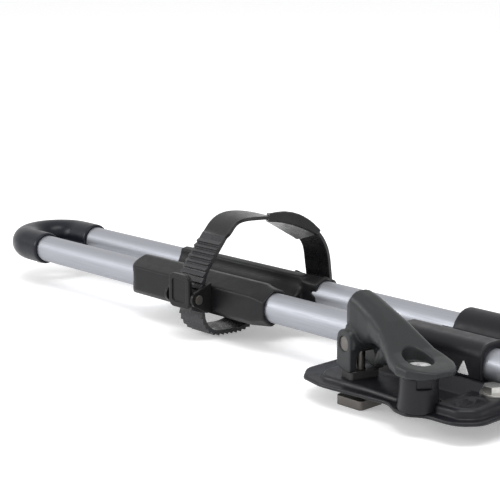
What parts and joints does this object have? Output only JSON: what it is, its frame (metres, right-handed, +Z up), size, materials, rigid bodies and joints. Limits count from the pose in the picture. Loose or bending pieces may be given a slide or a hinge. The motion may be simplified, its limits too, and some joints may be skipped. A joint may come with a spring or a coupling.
{
  "type": "roof bike carrier",
  "caption": "Roof-bar bike carrier: parallel tubes on cam-clamp feet, sliding wheel holders with ratchet straps, end loops and a folding frame arm with a screw clamp.",
  "frame": {"origin": "middle of the rear foot pad's underside, on the roof bar's centre line", "axes": "+X along the tubes towards the front end loop, +Y away from the lever side, +Z up"},
  "size_m": [1.4868, 0.1884, 0.5529],
  "materials": {
    "silver_tube": "satin silver",
    "loop_plastic": "matte, fine grain",
    "dark_plastic": "matte, fine grain",
    "holder_plastic": "matte, fine grain",
    "buckle_plastic": "semi-matte",
    "lever_plastic": "matte, fine grain",
    "black_steel": "black powder coat",
    "rubber": "matte",
    "strap_rubber": "semi-matte",
    "bright_steel": "zinc plated",
    "lock_metal": "satin nickel",
    "bush_plastic": "natural nylon"
  },
  "bodies": {
    "frame": {"near_tube": "silver_tube", "far_tube": "silver_tube", "rear_end_loop": "loop_plastic", "front_end_loop": "loop_plastic", "end_loop_screws": "bright_steel", "arm_bracket": "dark_plastic", "arm_bracket_bolts": "bright_steel", "arm_pivot_bolt": "bright_steel", "rear_base_plate": "black_steel", "rear_rubber_pad": "rubber", "rear_tube_saddle": "dark_plastic", "rear_foot_fasteners": "bright_steel", "rear_near_t_bolt": "bright_steel", "rear_far_t_bolt": "bright_steel", "rear_far_nut": "bright_steel", "rear_cam_pin": "bright_steel", "rear_cam_washer": "bright_steel", "rear_lock_post": "black_steel", "front_base_plate": "black_steel", "front_rubber_pad": "rubber", "front_tube_saddle": "dark_plastic", "front_foot_fasteners": "bright_steel", "front_near_t_bolt": "bright_steel", "front_far_t_bolt": "bright_steel", "front_far_nut": "bright_steel", "front_cam_pin": "bright_steel", "front_cam_washer": "bright_steel", "front_lock_post": "black_steel"},
    "rear_lever": {"rear_cam_lever": "lever_plastic"},
    "rear_lock": {"rear_lock_barrel": "lock_metal"},
    "rear_holder": {"rear_wheel_holder": "holder_plastic", "rear_strap": "strap_rubber", "rear_strap_pin": "bright_steel", "rear_rim_guard": "strap_rubber", "rear_buckle_base": "buckle_plastic", "rear_buckle_pin": "bright_steel", "rear_buckle_spring": "bright_steel"},
    "rear_buckle": {"rear_buckle_lever": "buckle_plastic"},
    "front_lever": {"front_cam_lever": "lever_plastic"},
    "front_lock": {"front_lock_barrel": "lock_metal"},
    "front_holder": {"front_wheel_holder": "holder_plastic", "front_strap": "strap_rubber", "front_strap_pin": "bright_steel", "front_rim_guard": "strap_rubber", "front_buckle_base": "buckle_plastic", "front_buckle_pin": "bright_steel", "front_buckle_spring": "bright_steel"},
    "front_buckle": {"front_buckle_lever": "buckle_plastic"},
    "arm": {"arm_hub": "dark_plastic", "arm_bushes": "bush_plastic", "arm_tube": "silver_tube", "jaw_head": "dark_plastic", "fixed_jaw_pad": "rubber"},
    "jaw": {"moving_jaw": "dark_plastic", "moving_jaw_pad": "rubber"},
    "knob": {"clamp_screw": "bright_steel", "clamp_knob": "dark_plastic"},
    "knob_lock": {"knob_lock": "lock_metal"}
  },
  "joints": [
    {"name": "rear_cam_hinge", "type": "hinge", "parent": "frame", "child": "rear_lever", "pos_m": [0, -0.061, 0.0276], "axis": [-0.2538, -0.9673, 0], "range_deg": [0, 85]},
    {"name": "rear_lock_turn", "type": "hinge", "parent": "rear_lever", "child": "rear_lock", "pos_m": [0.05659, -0.07584, 0.022], "axis": [0, 0, 1], "range_deg": [0, 90]},
    {"name": "rear_holder_slide", "type": "slide", "parent": "frame", "child": "rear_holder", "axis": [1, 0, 0], "range_m": [-0.11, 0.045]},
    {"name": "rear_buckle_hinge", "type": "hinge", "parent": "rear_holder", "child": "rear_buckle", "pos_m": [-0.172, -0.0474, 0.0206], "axis": [1, 0, 0], "range_deg": [0, 55], "stiffness_Nm_per_rad": 0.04, "springref_deg": -11.46},
    {"name": "front_cam_hinge", "type": "hinge", "parent": "frame", "child": "front_lever", "pos_m": [0.7, -0.061, 0.0276], "axis": [-0.2538, -0.9673, 0], "range_deg": [0, 85]},
    {"name": "front_lock_turn", "type": "hinge", "parent": "front_lever", "child": "front_lock", "pos_m": [0.75658, -0.07584, 0.022], "axis": [0, 0, 1], "range_deg": [0, 90]},
    {"name": "front_holder_slide", "type": "slide", "parent": "frame", "child": "front_holder", "axis": [1, 0, 0], "range_m": [-0.029, 0.045]},
    {"name": "front_buckle_hinge", "type": "hinge", "parent": "front_holder", "child": "front_buckle", "pos_m": [0.899, -0.0474, 0.0206], "axis": [1, 0, 0], "range_deg": [0, 55], "stiffness_Nm_per_rad": 0.04, "springref_deg": -11.46},
    {"name": "arm_hinge", "type": "hinge", "parent": "frame", "child": "arm", "pos_m": [0.626, 0, 0.048], "axis": [0, 1, 0], "range_deg": [-68, 12]},
    {"name": "knob_turn", "type": "hinge", "parent": "arm", "child": "knob", "pos_m": [0.45555, 0, 0.46987], "axis": [0, -1, 0], "range_deg": [-630, 1530]},
    {"name": "jaw_slide", "type": "slide", "parent": "arm", "child": "jaw", "axis": [0, -1, 0], "range_m": [-0.01401, 0.03401]},
    {"name": "knob_lock_turn", "type": "hinge", "parent": "knob", "child": "knob_lock", "pos_m": [0.45555, -0.1, 0.46987], "axis": [0, -1, 0], "range_deg": [0, 90]}
  ],
  "couplings": [
    {"joint": "jaw_slide", "follows": "knob_turn", "m_per_rad": 0.0012732}
  ]
}
